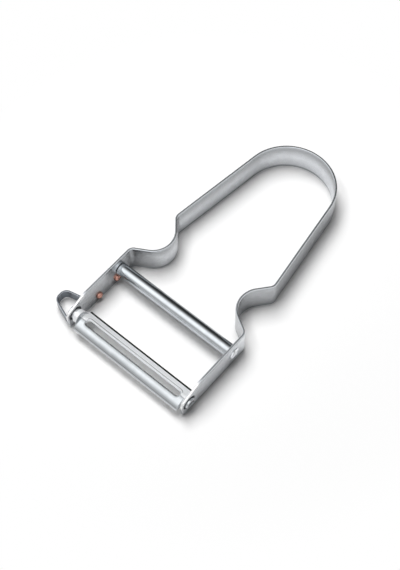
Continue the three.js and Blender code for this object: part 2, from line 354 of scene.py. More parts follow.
class PeelerSettings(bpy.types.PropertyGroup):
    """All settings of the peeler."""

    handle: PointerProperty(type=HandleSettings, name="Handle", description="The bent band")
    rod: PointerProperty(type=RodSettings, name="Rod", description="The cross rod")
    blade: PointerProperty(type=BladeSettings, name="Blade", description="The swivel blade")
    loop: PointerProperty(type=LoopSettings, name="Eye remover", description="The riveted loop")
    rivets: PointerProperty(type=RivetSettings, name="Rivets", description="The two rivets")
    stage: PointerProperty(type=StageSettings, name="Stage", description="Floor and light")


# Curves


def unit(vector):
    """The vector divided by its length."""
    return vector / np.linalg.norm(vector)


def smooth_step(value, start, full):
    """Nothing up to the start, one from the full value on, and between them 3 t squared minus 2 t cubed, where t
    is the share of the way from one to the other."""
    t = np.clip((value - start) / (full - start), 0, 1)
    return t * t * (3 - 2 * t)


def rounded_path(corners, steps_per_turn=160):
    """Straight runs joined by arcs. At each inner corner (x, y, radius) the arc touches both runs: its centre
    lies on the corner's bisector, at radius / sin(half the corner's angle). Each row holds the distance run,
    x, y, and the unit direction to the right of the path."""
    places = [np.array(corner[:2], float) for corner in corners]
    last = len(places) - 1
    rows = []
    for i, place in enumerate(places):
        if i in (0, last):
            run = unit(places[1] - places[0] if i == 0 else places[last] - places[last - 1])
            rows.append(np.array([[*place, run[1], -run[0]]]))
            continue
        back = unit(places[i - 1] - place)
        ahead = unit(places[i + 1] - place)
        radius = corners[i][2]
        half = math.acos(float(back @ ahead)) / 2
        turn = np.sign(ahead[0] * back[1] - ahead[1] * back[0])
        centre = place + unit(back + ahead) * radius / math.sin(half)
        spoke = (place + back * radius / math.tan(half) - centre) / radius
        sweep = math.pi - 2 * half
        angle = turn * np.linspace(0, sweep, max(5, math.ceil(sweep / (2 * math.pi) * steps_per_turn)))
        spokes = np.column_stack([
            spoke[0] * np.cos(angle) - spoke[1] * np.sin(angle),
            spoke[0] * np.sin(angle) + spoke[1] * np.cos(angle),
        ])
        rows.append(np.column_stack([centre + radius * spokes, turn * spokes]))
    path = np.vstack(rows)
    run = np.concatenate([[0.0], np.cumsum(np.linalg.norm(np.diff(path[:, :2], axis=0), axis=1))])
    return np.column_stack([run, path])


def tip_curves(corners, split_height, count=72):
    """The upper and lower edge of a strip's end, from its foremost point backwards. The outline runs from the
    upper edge over the rounded end to the lower edge; it is split at a height on its front."""
    outline = rounded_path(corners)
    run, along, height = outline[:, 0], outline[:, 1], outline[:, 2]
    split = np.interp(-split_height, -height, run)
    upper = np.linspace(split, 0, count)
    lower = np.linspace(split, run[-1], count)
    return tuple(np.column_stack([np.interp(r, run, along), np.interp(r, run, height)]) for r in (upper, lower))


def strip_edges(path, first_tip, last_tip, spacing=2 * MM):
    """Upper and lower edge of a strip laid flat, as rows of distance along it and height. Between the two
    tips both edges are straight and share their places along the strip."""
    length = path[-1, 0]
    start = first_tip[0][-1, 0]
    end = length - last_tip[0][-1, 0]
    places = np.concatenate([path[:, 0], np.arange(start, end, spacing)])
    places = np.unique(np.round(places[(places > start) & (places < end)], 6))
    edges = []
    for first, last in zip(first_tip, last_tip):
        middle = np.column_stack([places, np.full(len(places), first[-1, 1])])
        far = np.column_stack([length - last[:, 0], last[:, 1]])[::-1]
        edges.append(np.vstack([first, middle, far]))
    return edges


def bent_strip(path, edges, thickness, rounding, face_lines=9, corner_steps=4):
    """A strip of even thickness, cut flat and then bent along a path. Across the strip a closed loop runs over
    the upper edge, down one face, round the lower edge and up the other face. Each corner of the loop is a
    quarter circle: it comes in from the edge by rounding * (1 - sin angle) and from the face by
    rounding * (1 - cos angle). A point at distance s and offset n is the path's point at s plus n times the
    direction to its right."""
    upper, lower = edges
    outward = []
    for edge, side in ((upper, -1), (lower, 1)):
        step = np.gradient(edge, axis=0)
        step /= np.linalg.norm(step, axis=1, keepdims=True)
        outward.append(side * np.column_stack([step[:, 1], -step[:, 0]]))
    quarter = np.linspace(0, math.pi / 2, corner_steps + 1)
    inset = rounding * (1 - np.sin(quarter))
    offset = thickness / 2 - rounding * (1 - np.cos(quarter))
    over_inset = np.concatenate([inset, inset[::-1]])
    over_offset = np.concatenate([offset, -offset[::-1]])
    upper_rows = upper[:, None] - over_inset[None, :, None] * outward[0][:, None]
    lower_rows = lower[:, None] - over_inset[None, ::-1, None] * outward[1][:, None]
    mix = np.linspace(0, 1, face_lines + 2)[1:-1][None, :, None]
    falling = upper_rows[:, -1:] * (1 - mix) + lower_rows[:, :1] * mix
    rising = lower_rows[:, -1:] * (1 - mix) + upper_rows[:, :1] * mix
    flat = np.concatenate([upper_rows, falling, lower_rows, rising], axis=1)
    side = np.concatenate([
        over_offset, np.full(face_lines, -thickness / 2), -over_offset, np.full(face_lines, thickness / 2),
    ])
    # Marks for the finishes: the rim over each rounded edge, and the corner peaking at the middle of each rounding,
    # where the finishes take painted shade on the band's rims and a painted highlight at the corners
    rim = np.concatenate([
        np.ones(len(over_offset)), np.zeros(face_lines), np.ones(len(over_offset)), np.zeros(face_lines),
    ])
    turn = np.sin(2 * quarter)
    corner = np.concatenate([turn, turn[::-1], np.zeros(face_lines)])
    x, y, right_x, right_y = (np.interp(flat[..., 0], path[:, 0], path[:, k]) for k in range(1, 5))
    points = np.stack([x + side * right_x, y + side * right_y, flat[..., 1]], axis=-1)
    marks = {"rim": rim, "corner": np.tile(corner, 2)}
    return points, flat, {name: np.broadcast_to(mark, points.shape[:2]) for name, mark in marks.items()}


# Meshes


def grid_faces(rows, columns):
    """Quads between neighbouring rows of a grid whose columns close into a loop, as rows by columns by 4."""
    i = np.arange(rows - 1)[:, None]
    j = np.arange(columns)[None, :]
    ahead = (j + 1) % columns
    corners = (i * columns + j, (i + 1) * columns + j, (i + 1) * columns + ahead, i * columns + ahead)
    return np.stack(np.broadcast_arrays(*corners), axis=-1)


def make_mesh(name, points, flat, marks, faces=None, sharp=SHARP_TURN):
    """A closed mesh from points and faces, or from a grid of points. Its UV map holds the flat place of each
    point, in metres, and each mark becomes a point attribute. Points that meet are joined and the faces turned
    outwards."""
    mesh = bpy.data.meshes.new(name)
    if faces is None:
        faces = grid_faces(*points.shape[:2]).reshape(-1, 4).tolist()
    mesh.from_pydata(points.reshape(-1, 3), [], faces)
    corner = np.empty(len(mesh.loops), dtype=np.int32)
    mesh.loops.foreach_get("vertex_index", corner)
    layer = mesh.uv_layers.new(name="flat")
    layer.data.foreach_set("uv", flat.reshape(-1, 2)[corner].astype(np.float32).ravel())
    for mark, values in marks.items():
        held = mesh.attributes.new(mark, "FLOAT", "POINT")
        held.data.foreach_set("value", np.ascontiguousarray(values, dtype=np.float32).ravel())
    tidy_mesh(mesh)
    mesh.shade_smooth()
    mesh.set_sharp_from_angle(angle=sharp)
    return mesh


def tidy_mesh(mesh):
    """Joins points that meet, drops faces without area and turns the rest outwards."""
    work = bmesh.new()
    work.from_mesh(mesh)
    bmesh.ops.remove_doubles(work, verts=work.verts, dist=JOIN_DISTANCE)
    bmesh.ops.dissolve_degenerate(work, edges=work.edges, dist=SLIVER)
    bmesh.ops.recalc_face_normals(work, faces=work.faces)
    work.to_mesh(mesh)
    work.free()


def add_piece(name, mesh, material):
    """Puts a mesh into the scene as a piece with one material."""
    piece = bpy.data.objects.new(name, mesh)
    bpy.context.scene.collection.objects.link(piece)
    mesh.materials.append(material)
    return piece


def cut_through(piece, outlines):
    """Cuts prisms out of a piece. Each outline is (points in y and z, from x, to x); a prism joins the outline
    at its first x to the same outline at its last."""
    for outline, start, end in outlines:
        count = len(outline)
        points = np.vstack([
            np.column_stack([np.full(count, start), outline]),
            np.column_stack([np.full(count, end), outline]),
        ])
        ring = grid_faces(2, count).reshape(-1, 4).tolist()
        caps = [list(range(count)), list(range(count, 2 * count))]
        mesh = bpy.data.meshes.new("cutter")
        mesh.from_pydata(points, [], ring + caps)
        tidy_mesh(mesh)
        cutter = bpy.data.objects.new("cutter", mesh)
        bpy.context.scene.collection.objects.link(cutter)
        cut = piece.modifiers.new("cut", "BOOLEAN")
        cut.object = cutter
        cut.operation = "DIFFERENCE"
        cut.solver = "EXACT"
        shown = piece.evaluated_get(bpy.context.evaluated_depsgraph_get())
        result = bpy.data.meshes.new_from_object(shown)
        piece.modifiers.clear()
        old = piece.data
        result.name = old.name
        piece.data = result
        bpy.data.meshes.remove(old)
        bpy.data.objects.remove(cutter)
        bpy.data.meshes.remove(mesh)
    piece.data.shade_smooth()
    piece.data.set_sharp_from_angle(angle=SHARP_TURN)


def keep_flats_flat(piece):
    """Weighs normals by face area, so that a flat face beside a rounded edge shades flat."""
    weigh = piece.modifiers.new("flat_faces", "WEIGHTED_NORMAL")
    weigh.keep_sharp = True


def soften_rims(piece):
    """A small bevel on the sharp rims of cut holes."""
    rim = piece.modifiers.new("hole_rims", "BEVEL")
    rim.limit_method = "ANGLE"
    rim.angle_limit = RIM_TURN
    rim.width = RIM_BEVEL
    rim.segments = 2
    rim.use_clamp_overlap = True


def circle(radius, centre, count=HOLE_STEPS):
    """Points of a circle in y and z."""
    angle = np.linspace(0, 2 * math.pi, count, endpoint=False)
    return np.column_stack([centre[0] + radius * np.cos(angle), centre[1] + radius * np.sin(angle)])


def oval_turn(count):
    """The angles round an oval of two half circles, and the side that each half lies on."""
    first = np.linspace(-math.pi / 2, math.pi / 2, count)
    return np.concatenate([first, first + math.pi]), np.repeat([1.0, -1.0], count)


def slot_outline(length, width, centre, count=24):
    """Points of an oval with straight sides and round ends, in y and z, long in y."""
    angle, way = oval_turn(count)
    return np.column_stack([
        centre[0] + way * (length - width) / 2 + width / 2 * np.cos(angle), centre[1] + width / 2 * np.sin(angle),
    ])


def bearing_outline():
    """The bearing hole in y and z: an arc of the hole's radius round to both sides of the tooth, then an arc of
    the radius at the tooth's top between them."""
    low = -math.pi / 2
    wide = np.linspace(low + TOOTH_ANGLE / 2, low + 2 * math.pi - TOOTH_ANGLE / 2, HOLE_STEPS)
    narrow = np.linspace(low - TOOTH_ANGLE / 2, low + TOOTH_ANGLE / 2, TOOTH_STEPS)
    angle = np.concatenate([wide, narrow])
    radius = np.repeat([HOLE_RADIUS, HOLE_RADIUS - TOOTH_REACH], [len(wide), len(narrow)])
    return np.column_stack([PIVOT[1] + radius * np.cos(angle), PIVOT[2] + radius * np.sin(angle)])


def rivet_middle(name):
    """Middle of a rivet's box, in y and z."""
    low, high = (np.array(corner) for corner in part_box(name))
    return (low[1:] + high[1:]) / 2


def rivet_holes(start, end):
    """The cuts for both rivets from one x to another."""
    return [(circle(RIVET_SHANK + FIT_GAP, rivet_middle(name)), start, end) for name in RIVET_NODES]


# Shapes of the pieces


def handle_path(sizes):
    """Middle line of the band seen from above: cheek, shoulder, finger notch, hip and leg on each side, and one
    arc for the bow. The legs taper towards the point where their lines meet."""
    cheek = FRAME_HIGH[0] - MIDDLE_X - sizes.thickness / 2
    bow_middle = sizes.length - sizes.thickness / 2 - sizes.bow_radius
    apex = bow_middle + sizes.bow_radius / math.sin(LEG_TAPER)
    notch = SHOULDER_INSET + NOTCH_SETBACK
    hip = notch + HIP_SETBACK
    half = [
        (cheek, 0, 0),
        (cheek, SHOULDER_INSET, SHOULDER_RADIUS),
        (cheek - sizes.notch_depth, notch, NOTCH_RADIUS),
        ((apex - hip) * math.tan(LEG_TAPER), hip, HIP_RADIUS),
    ]
    corners = half + [(0, apex, sizes.bow_radius)] + [(-x, y, r) for x, y, r in reversed(half)]
    return rounded_path([(MIDDLE_X + x, NOSE_Y + y, r) for x, y, r in corners])


def band_tones(flat, length, height, rim):
    """How much painted shade lies on the band, where it is polished, and where its rim takes a brighter finish. The
    outsides of the cheeks carry no painted shade; elsewhere the band is painted darker: inside the cheeks towards
    the lower edge, inside the legs and the bow towards the upper one, and on the outsides of the legs. These go by
    smooth steps of the distance from the noses and of the height. The polish lies inside the cheeks before the
    rod's seat and falls off with the distance from it. The noses' sloping edges take the brighter finish. The
    middle half of the loop across the strip is the face inside the handle."""
    run, up = flat[..., 0], flat[..., 1]
    rise = up / height
    from_nose = np.minimum(run, length - run)
    leg = smooth_step(from_nose, SHOULDER_INSET, SHOULDER_INSET + NOTCH_SETBACK)
    front = smooth_step(from_nose, *FRONT_TONE)
    quarter = flat.shape[1] // 4
    inner = np.zeros(flat.shape[1])
    inner[quarter:3 * quarter] = 1
    # Painted shade: darker inside the cheeks towards the lower edge, and inside the legs and the bow towards the
    # upper one
    fall = CHEEK_FALL[0] * (1 - front) + CHEEK_FALL[1] * front
    inside = smooth_step(from_nose, *NOSE_TONE) * (1 - leg) * (CHEEK_PAINTED_SHADE - fall * rise)
    inside = inside + leg * smooth_step(rise, *LEG_RISE)
    shoulder = smooth_step(from_nose, *SHOULDER_TONE) * smooth_step(from_nose, *NOTCH_TONE)
    inside = np.maximum(inside, shoulder * (CHEEK_PAINTED_SHADE - SHOULDER_FALL * rise))
    rod = (ROD_LOW + ROD_HIGH) / 2
    before_rod = rod[1] - NOSE_Y - from_nose
    off = np.hypot(before_rod, up - rod[2])
    polish = inner * smooth_step(off, *POLISH_REACH) * smooth_step(before_rod, *POLISH_EDGE)
    cut = rim * smooth_step(from_nose, SLOPE_LENGTH, SLOPE_LENGTH - CUT_FADE) * smooth_step(rise, *CUT_RISE)
    return {"dull": inner * inside + (1 - inner) * LEG_OUTSIDE_PAINTED_SHADE * leg, "polish": polish, "cut": cut}


def blade_stations(sizes, slide):
    """Places along the blade from its middle to one end, with the sheet's section at each: centre height, outer
    and inner radius, edge angle, half the slot's width at the cutting edge and at the bevel's upper line, and
    how far the section is still the arch. Centre, radius and edge angle go from the arch to the collar by a
    smooth step. Half the slot's width follows a circle at the slot's end, and half the blade's width follows a
    circle at its corners. The slide moves all this along the blade. A collar that would pass its place at the
    cheek gets shorter."""
    radius = sizes.slot_width / 2
    upper = radius + sizes.grind
    straight = SLOT_HALF + slide - radius
    body_end, neck_start, neck_end = BODY_HALF + slide, NECK_START + slide, NECK_END + slide
    collar_end = COLLAR_END + min(slide, 0)
    quarter = np.sin(np.linspace(0, math.pi / 2, CORNER_STEPS))
    x = np.concatenate([
        np.linspace(0, straight, SLOT_STEPS),
        straight + radius * quarter,
        straight + upper * quarter,
        body_end - CORNER_RADIUS * (1 - quarter),
        np.linspace(neck_start, neck_end, NECK_STEPS),
        [collar_end - 2 * END_ROUNDING, collar_end - END_ROUNDING],
    ])
    x = np.unique(np.round(x, 8))
    x = x[np.concatenate([[True], np.diff(x) > STATION_GAP])]
    mix = smooth_step(x, neck_start, neck_end)
    past = np.clip((x - body_end + CORNER_RADIUS) / CORNER_RADIUS, 0, 1)
    half_width = sizes.width / 2 - CORNER_RADIUS * (1 - np.sqrt(1 - past ** 2))
    outer = ARCH_RADIUS * (1 - mix) + COLLAR_RADIUS * mix
    rows = np.column_stack([
        x,
        (CROWN_RISE - ARCH_RADIUS) * (1 - mix),
        outer,
        outer - sizes.thickness,
        np.arcsin(half_width / ARCH_RADIUS) * (1 - mix) + COLLAR_EDGE * mix,
        radius * np.sqrt(1 - np.clip((x - straight) / radius, 0, 1) ** 2),
        upper * np.sqrt(1 - np.clip((x - straight) / upper, 0, 1) ** 2),
        1 - mix,
    ])
    rounded = END_ROUNDING * (1 - math.sqrt(0.5))
    ends = [[place, 0, radius - less, radius - sizes.thickness, edge, 0, 0, 0] for place, radius, less, edge in (
        (collar_end - rounded, COLLAR_RADIUS, rounded, COLLAR_EDGE),
        (collar_end, COLLAR_RADIUS, END_ROUNDING, COLLAR_EDGE),
        (collar_end, JOURNAL_RADIUS, 0, JOURNAL_EDGE),
        (JOURNAL_END - END_ROUNDING, JOURNAL_RADIUS, 0, JOURNAL_EDGE),
        (JOURNAL_END - rounded, JOURNAL_RADIUS, rounded, JOURNAL_EDGE),
        (JOURNAL_END, JOURNAL_RADIUS, END_ROUNDING, JOURNAL_EDGE),
    )]
    return np.vstack([rows, ends])


def rear_shift(across, start, lip, end):
    """How far the rear rail lies above the plain arch at each place across it. From the slot's bevel on its face
    falls by a slope that changes evenly from its first value to its last, so that it is slightly hollow. From
    the lip on it falls by the lip's own slope, and past the lip's end it keeps its distance from the arch."""
    u = np.clip(across, 0, end)
    plain = np.sqrt(ARCH_RADIUS ** 2 - u ** 2)
    first, last = REAR_SLOPES
    run = np.minimum(u, lip) - start
    top = math.sqrt(ARCH_RADIUS ** 2 - start ** 2)
    face = top - first * run + (first - last) * run ** 2 / (2 * (lip - start))
    face -= LIP_SLOPE * np.clip(u - lip, 0, None)
    return np.where(u < start, 0, face - plain)


def blade_surface(sizes):
    """The blade as two rails that meet beyond the slot's ends. A rail's section is a closed loop about the
    arch's centre: the outer arc from the bevel to the edge, a quarter circle at the edge's upper corner, a
    smaller one at its lower corner, the inner arc back to the slot, the slot's wall, and the ground bevel,
    which falls towards the slot by the tangent of its angle. The rear rail is shifted from the arch to a
    slightly hollow face with a low lip at its edge."""
    left, right = blade_stations(sizes, LEFT_SLIDE), blade_stations(sizes, RIGHT_SLIDE)
    left[:, 0] *= -1
    rows = np.vstack([left[:0:-1], right])
    x, centre, outer, inner, edge, low_half, high_half, arch = (rows[:, k:k + 1] for k in range(8))
    middle, wall = (outer + inner) / 2, sizes.thickness / 2
    lower_round = LOWER_ROUNDING * sizes.thickness
    turn = np.linspace(0, math.pi / 2, EDGE_STEPS)
    high = np.arcsin(high_half / outer)
    low = np.arcsin(np.clip(low_half / inner, 0, 1))
    slot_edge = sizes.slot_width / 2 + sizes.grind
    count, columns = len(rows), 2 * len(FACE_SHARES) + LIP_LINES + 2 * len(turn)
    quads = grid_faces(count, columns)
    keep = np.ones((count - 1, columns), bool)
    for line, half in ((-2, low_half[:, 0]), (-1, high_half[:, 0])):
        keep[:, line] = (half[:-1] > 0) | (half[1:] > 0)
    points, flat, faces = [], [], []
    for number, (side, grind, rounding) in enumerate(RAILS):
        upper_round = rounding * sizes.thickness
        before_edge = np.concatenate([
            np.linspace(LIP_WIDTH, upper_round, LIP_LINES + 1)[1:],
            upper_round * (1 - np.sin(turn[1:])), lower_round * (1 - np.sin(turn[::-1])),
        ])
        from_middle = np.concatenate([
            np.full(LIP_LINES, wall), wall - upper_round * (1 - np.cos(turn[1:])),
            lower_round * (1 - np.cos(turn[::-1])) - wall,
        ])
        lip = edge - LIP_WIDTH / middle
        outer_angle = high + FACE_SHARES * (lip - high)
        edge_angle = edge - before_edge / middle
        inner_angle = low + FACE_SHARES[::-1] * (edge - lower_round / middle - low)
        angle = np.concatenate([outer_angle, edge_angle, inner_angle], axis=1)
        reach = np.concatenate([
            outer + 0 * outer_angle, middle + from_middle + 0 * edge_angle, inner + 0 * inner_angle,
        ], axis=1)
        across = reach * np.sin(angle)
        height = centre + reach * np.cos(angle)
        if side > 0:
            lip_end = edge - upper_round / middle
            height += arch * rear_shift(
                across, slot_edge, ARCH_RADIUS * np.sin(lip), ARCH_RADIUS * np.sin(lip_end),
            )
        foot = height[:, :1] - (high_half - low_half) * math.tan(grind)
        across = np.concatenate([across, low_half], axis=1)
        height = np.concatenate([height, foot], axis=1)
        run = np.concatenate([reach * angle, low_half], axis=1)
        points.append(np.stack([PIVOT[0] + x + 0 * across, PIVOT[1] + side * across, PIVOT[2] + height], axis=-1))
        flat.append(np.stack([x + 0 * run, side * run], axis=-1))
        places = number * count * columns + np.arange(count * columns)
        faces += places[quads[keep]].tolist()
        faces += [places[:columns].tolist(), places[-columns:].tolist()]
    return np.array(points), faces, np.array(flat), blade_marks(x, arch, high_half[:, 0] > 0, columns)


def blade_marks(x, arch, slotted, columns):
    """Where the front and the rear rail take another finish, by rail, place along the blade and line across it:
    the underside, the ground bevels and a painted highlight line along the front edge, the matt collars and rear
    face, painted shade in the bores of collars and journals, and painted dark lines and shade. Most fade out with
    the arch. At the necks the painted shade goes by the product of what is still arch and what isn't, and beside
    the slot it falls evenly with the distance."""
    face = len(FACE_SHARES)
    marks = {name: np.zeros((2, len(x), columns)) for name in ("under", "ground", "matt", "bore", "dark")}
    marks["under"][:, :, -face - 1:-1] = 1
    marks["ground"][:, :, [0, -1]] = slotted[:, None]
    # A painted highlight line along the front edge, carried in the ground mask
    marks["ground"][0, :, face + FRONT_BRIGHT[0]:face + FRONT_BRIGHT[1]] = arch
    collar = np.abs(x[:, 0]) < COLLAR_END + END_ROUNDING
    marks["matt"][:, collar] = np.clip(1 - COLLAR_MATT * arch[collar], 0, 1)
    marks["matt"][1, :, 1:face] = np.maximum(arch, marks["matt"][1, :, 1:face])
    marks["matt"][1, slotted, GROUND_LINE] = 0
    # Painted shade in the bores of the collars and journals
    marks["bore"][:, :, -face - 1:] = 1 - arch
    # Painted shade at the necks, painted dark lines at the rear lip and the front edge, and painted shade beside the
    # slot
    marks["dark"][:, :, :face] = NECK_SHADE * arch * (1 - arch)
    marks["dark"][1, :, face + REAR_DARK[0]:face + REAR_DARK[1]] = arch
    marks["dark"][0, :, face + FRONT_DARK] = FRONT_DARK_SHADE * arch[:, 0]
    marks["dark"][0, slotted, :face] = SLOT_SHADE * np.clip(1 - FACE_SHARES / SLOT_SHADE_REACH, 0, 1)
    return marks


def rod_half(sizes, peen_width):
    """Half the rod from its middle to one end, as sections along x: a circle over the rod's length, a small
    chamfer, the flat tenon as an oval through the cheek, and a peened oval that shrinks to its middle by the
    cosine as it rises by the sine. Two strikes mark the oval: a dish, which falls off with the distance from
    its middle, and a groove beside it, which falls off with the distance from a slanting line. The rows are x, y,
    z, the distance round the rod, and the marks for the painted shade at the seam by the cheek and in the groove,
    the peened end and the shaded back."""
    face = FRAME_HIGH[0] - MIDDLE_X
    seat = face - bpy.context.scene.peeler.handle.thickness - FIT_GAP
    radius = sizes.diameter / 2
    tenon = ((TENON_LENGTH - TENON_THICKNESS) / 2, TENON_THICKNESS / 2)
    peen = ((sizes.peen_length - peen_width) / 2, peen_width / 2)
    rise = np.linspace(0, math.pi / 2, PEEN_STEPS)
    body = np.concatenate([np.linspace(0, seat - 2 * SEAM_WIDTH, ROD_STEPS), seat - SEAM_STATIONS * SEAM_WIDTH])
    stations = np.concatenate([
        body, [seat - ROD_CHAMFER, seat, seat, face + FIT_GAP], face + FIT_GAP + sizes.peen_rise * np.sin(rise),
    ])
    shrink = np.cos(rise) ** PEEN_ROUNDNESS
    full = len(body) + 1
    straight = np.concatenate([np.zeros(full + 1), [tenon[0]] * 2, peen[0] * shrink])
    round_part = np.concatenate([
        np.full(full, radius), [radius - ROD_CHAMFER], [tenon[1]] * 2, peen[1] * shrink,
    ])
    angle, way = oval_turn(OVAL_STEPS)
    y = straight[:, None] * way + round_part[:, None] * np.cos(angle)
    z = round_part[:, None] * np.sin(angle)
    x = np.broadcast_to(stations[:, None], y.shape).copy()
    domed = (stations > face + 2 * FIT_GAP)[:, None]
    dish = np.exp(-((y - DISH_MIDDLE[0]) ** 2 + (z - DISH_MIDDLE[1]) ** 2) / DISH_RADIUS ** 2)
    beside = GROOVE_SLANT[0] * (y + GROOVE_OFFSET) - GROOVE_SLANT[1] * z
    groove = np.exp(-(beside / GROOVE_WIDTH) ** 2)
    x -= np.where(domed, sizes.peen_rise * STRIKE_DEPTH * (dish + groove), 0)
    z = z + np.where(stations > face, PEEN_LIFT, 0)[:, None]
    outline = face + FIT_GAP + OUTLINE_RISE * sizes.peen_rise
    # Painted shade at the seam by the cheek, up to a thin outline round the peened oval's foot, and in the struck
    # groove
    seam = ((stations > seat - SEAM_WIDTH) & (stations < outline))[:, None]
    seam = np.maximum(seam, np.where(domed, GROOVE_SHADE * groove, 0))
    shade = smooth_step(np.cos(angle), *ROD_SHADE)
    return np.stack(np.broadcast_arrays(x, y, z, angle * radius, seam, (stations > face)[:, None], shade))


def rod_surface(sizes):
    """The rod as its two halves, the left one mirrored. The left end's oval is narrower, because the eye
    remover's plate lies beside it."""
    middle = (ROD_LOW[1:] + ROD_HIGH[1:]) / 2
    left, right = rod_half(sizes, HIDDEN_PEEN), rod_half(sizes, sizes.peen_width)
    left[0] *= -1
    x, y, z, around, seam, ends, shade = np.concatenate([left[:, :0:-1], right], axis=1)
    points = np.stack([MIDDLE_X + x, middle[0] + y, middle[1] + z], axis=-1)
    return points, np.stack([x, around], axis=-1), {"seam": seam, "peened": ends, "shade": shade}


def loop_path(sizes):
    """Middle line of the eye remover seen from above: the plate along the cheek, the rear leg, the round outer
    end and the front leg back to the nose."""
    cheek = FRAME_LOW[0] - MIDDLE_X
    plate = cheek - FIT_GAP - sizes.thickness / 2
    outer = STRIP_LOW[0] - MIDDLE_X + sizes.thickness / 2
    corners = [
        (plate, PLATE_END, 0),
        (plate, LOOP_BACK_ROOT, LOOP_ROOT_RADIUS),
        (outer, LOOP_BACK_ROOT - LOOP_BACK_TAPER, LOOP_END_RADIUS),
        (outer, LOOP_FRONT_ROOT + LOOP_FRONT_TAPER, LOOP_END_RADIUS),
        (cheek - LEG_GAP, LOOP_FRONT_ROOT, 0),
    ]
    return rounded_path([(MIDDLE_X + x, NOSE_Y + y, r) for x, y, r in corners])


def rivet_surface(sizes, name):
    """A rivet turned about x: a domed head inside the cheek, a straight shank, and a flatter tail outside the
    plate. Each dome's radius falls by the cosine as it rises by the sine."""
    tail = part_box(name)[0][0]
    middle = rivet_middle(name)
    settings = bpy.context.scene.peeler
    inside = FRAME_LOW[0] + settings.handle.thickness + FIT_GAP
    outside = FRAME_LOW[0] - settings.loop.thickness - 2 * FIT_GAP
    head = sizes.head / 2
    rise = np.linspace(0, math.pi / 2, DOME_STEPS)
    x = np.concatenate([
        (outside - (outside - tail) * np.sin(rise))[::-1], [outside, inside], inside + sizes.rise * np.sin(rise),
    ])
    radius = np.concatenate([head * np.cos(rise)[::-1], [RIVET_SHANK] * 2, head * np.cos(rise)])
    angle = np.linspace(0, 2 * math.pi, RIVET_STEPS, endpoint=False)
    flat = np.stack([radius[:, None] * np.cos(angle), radius[:, None] * np.sin(angle)], axis=-1)
    along = np.broadcast_to(x[:, None, None], (*flat.shape[:2], 1))
    rim = np.clip((radius / head - RIVET_RIM) / (1 - RIVET_RIM), 0, 1)
    return np.concatenate([along, middle + flat], axis=-1), flat, np.broadcast_to(rim[:, None], flat.shape[:2])


# Finishes


def node(tree, kind, inputs=None, **settings):
    """Adds a node, sets its settings, and links or sets its inputs by name or number."""
    made = tree.nodes.new(kind)
    for key, value in settings.items():
        setattr(made, key, value)
    for key, value in (inputs or {}).items():
        if isinstance(value, bpy.types.NodeSocket):
            tree.links.new(value, made.inputs[key])
        else:
            made.inputs[key].default_value = value
    return made


def maths(tree, operation, *values):
    """The result of a maths node."""
    return node(tree, "ShaderNodeMath", dict(enumerate(values)), operation=operation).outputs[0]


def spread(tree, value, start, end, low=0.0, high=1.0):
    """A value that goes from low to high as the given one goes from start to end."""
    return node(tree, "ShaderNodeMapRange", dict(enumerate((value, start, end, low, high)))).outputs[0]


def blend(tree, kind, shown, under, over):
    """One colour or number laid over another where it shows."""
    first, second, result = {"RGBA": (6, 7, 2), "FLOAT": (2, 3, 0)}[kind]
    return node(tree, "ShaderNodeMix", {0: shown, first: under, second: over}, data_type=kind).outputs[result]


def object_place(tree):
    """The place of a point on its object, in metres."""
    return node(tree, "ShaderNodeTexCoord").outputs["Object"]


def blank(holder):
    """The emptied node tree of a material or a world."""
    holder.use_nodes = True
    holder.node_tree.nodes.clear()
    return holder.node_tree


def effect(name, scales, result, fill):
    """A shader node group that takes a place and some scales and puts out one value. It is made once; fill adds
    its nodes."""
    group = bpy.data.node_groups.get(name)
    if group is None:
        group = bpy.data.node_groups.new(name, "ShaderNodeTree")
        group.interface.new_socket(name="Place", in_out="INPUT", socket_type="NodeSocketVector")
        for scale in scales:
            group.interface.new_socket(name=scale, in_out="INPUT", socket_type="NodeSocketFloat")
        group.interface.new_socket(name=result, in_out="OUTPUT", socket_type="NodeSocketFloat")
        given = group.nodes.new("NodeGroupInput").outputs
        node(group, "NodeGroupOutput", {result: fill(group, given)})
    return group


def drawn_lines(tree, given):
    """Fine lines along a surface: noise on the flat place of a point, squeezed across the lines and stretched
    along them."""
    squeeze = node(tree, "ShaderNodeCombineXYZ", {"X": given["Along"], "Y": given["Across"], "Z": 1.0})
    place = node(tree, "ShaderNodeVectorMath", {0: given["Place"], 1: squeeze.outputs[0]}, operation="MULTIPLY")
    return node(tree, "ShaderNodeTexNoise", {
        "Vector": place.outputs[0], "Scale": 1.0, "Detail": 3.0, "Roughness": 0.6,
    }).outputs["Fac"]


def handling_haze(tree, given):
    """Cloudy traces of handling: two sizes of noise, the smaller one weighed by the larger."""
    finer = maths(tree, "MULTIPLY", given["Scale"], HAZE_FINER)
    large, small = (
        node(tree, "ShaderNodeTexNoise", {"Vector": given["Place"], "Scale": scale, "Detail": detail}).outputs["Fac"]
        for scale, detail in ((given["Scale"], 2.0), (finer, 4.0))
    )
    return spread(tree, maths(tree, "MULTIPLY", large, small), *HAZE_SPAN)


def marked(mark):
    """A layer's mask from a point attribute."""
    return lambda tree: node(tree, "ShaderNodeAttribute", attribute_name=mark).outputs["Fac"]


def near_swivel(tree):
    """A layer's mask for painted shade on the walls of the bearing holes and round them: one up to a little more
    than the holes' radius from the swivel axis."""
    across = node(tree, "ShaderNodeVectorMath", {0: object_place(tree), 1: (0, 1, 1)}, operation="MULTIPLY")
    off = node(tree, "ShaderNodeVectorMath", {
        0: across.outputs[0], 1: (0, PIVOT[1], PIVOT[2]),
    }, operation="DISTANCE")
    return spread(tree, off.outputs["Value"], *(HOLE_RADIUS + width for width in HOLE_SHADE_RING))


